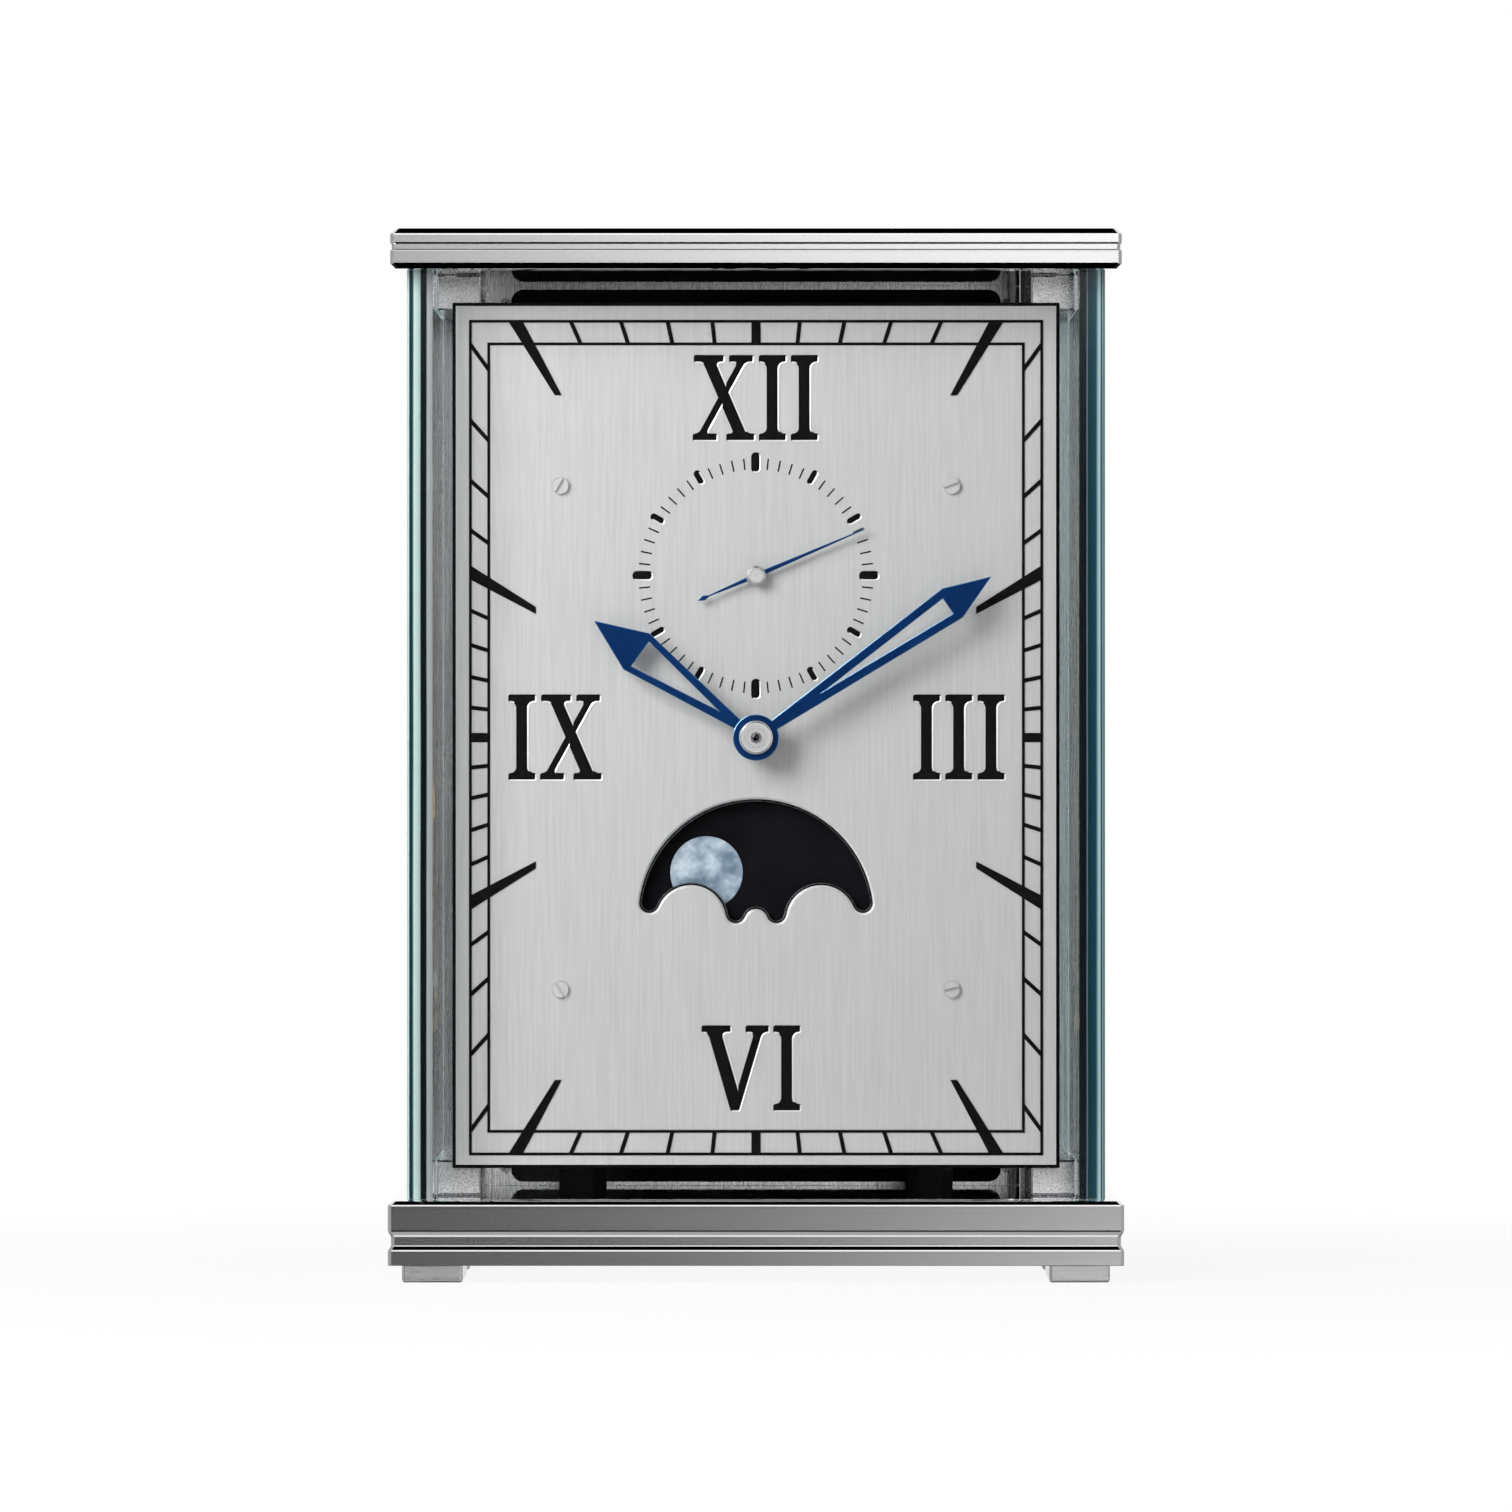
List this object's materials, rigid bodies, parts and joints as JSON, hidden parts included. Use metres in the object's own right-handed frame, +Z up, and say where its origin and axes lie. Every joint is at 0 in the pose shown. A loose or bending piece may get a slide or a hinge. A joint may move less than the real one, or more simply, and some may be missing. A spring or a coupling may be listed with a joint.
{
  "type": "table clock",
  "caption": "Glass-sided table clock: silvered dial, Roman numerals, blue hands, seconds circle and moon phase aperture, with a toothed going train, motion work and moon train.",
  "frame": {"origin": "on the table, under the middle of the base plate", "axes": "+Z up, the dial faces -Y, +X to the right as seen from the front"},
  "size_m": [0.129, 0.08, 0.185],
  "materials": {
    "polished_plate": "polished",
    "brushed_case": "fine brushed",
    "glass": "clear, polished edges",
    "black_lining": "satin",
    "silvered_dial": "vertical brushed",
    "black_marks": "gloss",
    "blued_steel": "blued",
    "bright_steel": "bright",
    "brass": "satin",
    "night_sky": "matte",
    "moon_face": "matte"
  },
  "bodies": {
    "case": {"base_plate": "polished_plate", "top_plate": "polished_plate", "front_left_foot": "brushed_case", "front_right_foot": "brushed_case", "rear_left_foot": "brushed_case", "rear_right_foot": "brushed_case", "front_glass": "glass", "left_glass": "glass", "right_glass": "glass", "upper_left_rail": "brushed_case", "upper_right_rail": "brushed_case", "lower_left_rail": "brushed_case", "lower_right_rail": "brushed_case", "left_stile": "brushed_case", "right_stile": "brushed_case", "door_pins": "bright_steel", "dial_plate": "silvered_dial", "dial_backing": "black_lining", "dial_track": "black_marks", "dial_numerals": "black_marks", "seconds_track": "black_marks", "dial_screws": "bright_steel", "dial_pillars": "bright_steel", "front_plate": "brass", "rear_plate": "brass", "plate_pillars": "bright_steel", "pillar_nuts": "bright_steel", "seat_board": "brass", "seat_posts": "bright_steel", "motion_studs": "bright_steel", "click_screw": "bright_steel"},
    "door": {"door_frame": "brushed_case", "door_lining": "black_lining", "door_screws": "bright_steel"},
    "latch": {"door_knob": "bright_steel", "latch_tongue": "bright_steel"},
    "minute_hand_train": {"centre_arbor": "bright_steel", "centre_wheel": "brass", "cannon_pinion": "bright_steel", "minute_hand": "blued_steel", "hand_cap": "bright_steel"},
    "hour_hand_train": {"hour_wheel": "brass", "hour_hand": "blued_steel"},
    "motion_wheel": {"minute_wheel": "brass"},
    "moon_first": {"moon_wheel_one": "brass"},
    "moon_second": {"moon_wheel_two": "brass"},
    "moon_train": {"moon_wheel": "brass", "moon_disc": "night_sky", "moon_faces": "moon_face"},
    "third_train": {"third_wheel": "brass"},
    "seconds_train": {"seconds_arbor": "brass", "seconds_hand": "blued_steel"},
    "escape": {"escape_wheel": "brass"},
    "spring_barrel": {"barrel": "brass"},
    "winding": {"winding_arbor": "bright_steel", "ratchet_wheel": "bright_steel"},
    "click_arm": {"click": "bright_steel"},
    "lever": {"pallet_lever": "bright_steel"},
    "balance": {"balance_wheel": "brass"}
  },
  "joints": [
    {"name": "minute", "type": "hinge", "parent": "case", "child": "minute_hand_train", "pos_m": [0, 0, 0.0957], "axis": [0, 1, 0], "continuous": true},
    {"name": "hour", "type": "hinge", "parent": "case", "child": "hour_hand_train", "pos_m": [0, 0, 0.0957], "axis": [0, 1, 0], "continuous": true},
    {"name": "minute_wheel", "type": "hinge", "parent": "case", "child": "motion_wheel", "pos_m": [0.00707, 0, 0.08863], "axis": [0, 1, 0], "continuous": true},
    {"name": "moon_one", "type": "hinge", "parent": "case", "child": "moon_first", "pos_m": [0.01307, 0, 0.07824], "axis": [0, 1, 0], "continuous": true},
    {"name": "moon_two", "type": "hinge", "parent": "case", "child": "moon_second", "pos_m": [0.01491, 0, 0.06562], "axis": [0, 1, 0], "continuous": true},
    {"name": "moon", "type": "hinge", "parent": "case", "child": "moon_train", "pos_m": [0, 0, 0.064], "axis": [0, 1, 0], "continuous": true},
    {"name": "third", "type": "hinge", "parent": "case", "child": "third_train", "pos_m": [-0.0034, 0, 0.11043], "axis": [0, 1, 0], "continuous": true},
    {"name": "seconds", "type": "hinge", "parent": "case", "child": "seconds_train", "pos_m": [0, 0, 0.1243], "axis": [0, 1, 0], "continuous": true},
    {"name": "escape", "type": "hinge", "parent": "case", "child": "escape", "pos_m": [0.00729, 0, 0.13299], "axis": [0, 1, 0], "continuous": true},
    {"name": "barrel", "type": "hinge", "parent": "case", "child": "spring_barrel", "pos_m": [-0.01204, 0, 0.07973], "axis": [0, 1, 0], "continuous": true},
    {"name": "winding", "type": "hinge", "parent": "case", "child": "winding", "pos_m": [-0.01204, 0, 0.07973], "axis": [0, 1, 0], "continuous": true},
    {"name": "click", "type": "hinge", "parent": "case", "child": "click_arm", "pos_m": [-0.00359, 0, 0.08763], "axis": [0, -1, 0], "range_deg": [0, 12]},
    {"name": "lever", "type": "hinge", "parent": "case", "child": "lever", "pos_m": [0.00162, 0, 0.13774], "axis": [0, 1, 0], "range_deg": [-5, 5]},
    {"name": "balance", "type": "hinge", "parent": "case", "child": "balance", "pos_m": [-0.00793, 0, 0.13674], "axis": [0, 1, 0], "range_deg": [-140, 140]},
    {"name": "door", "type": "hinge", "parent": "case", "child": "door", "pos_m": [0.0456, 0.03435, 0.09615], "axis": [0, 0, -1], "range_deg": [0, 90]},
    {"name": "latch", "type": "hinge", "parent": "door", "child": "latch", "pos_m": [-0.04, 0.03435, 0.09615], "axis": [0, -1, 0], "range_deg": [0, 90]}
  ],
  "couplings": [
    {"joint": "hour", "follows": "minute", "ratio": 0.083333},
    {"joint": "minute_wheel", "follows": "minute", "ratio": -0.33333},
    {"joint": "moon_one", "follows": "minute", "ratio": 0.047619},
    {"joint": "moon_two", "follows": "minute", "ratio": -0.0063492},
    {"joint": "moon", "follows": "minute", "ratio": 0.00070547},
    {"joint": "third", "follows": "minute", "ratio": -8},
    {"joint": "seconds", "follows": "minute", "ratio": 60},
    {"joint": "escape", "follows": "minute", "ratio": -480},
    {"joint": "barrel", "follows": "minute", "ratio": -0.11111}
  ]
}
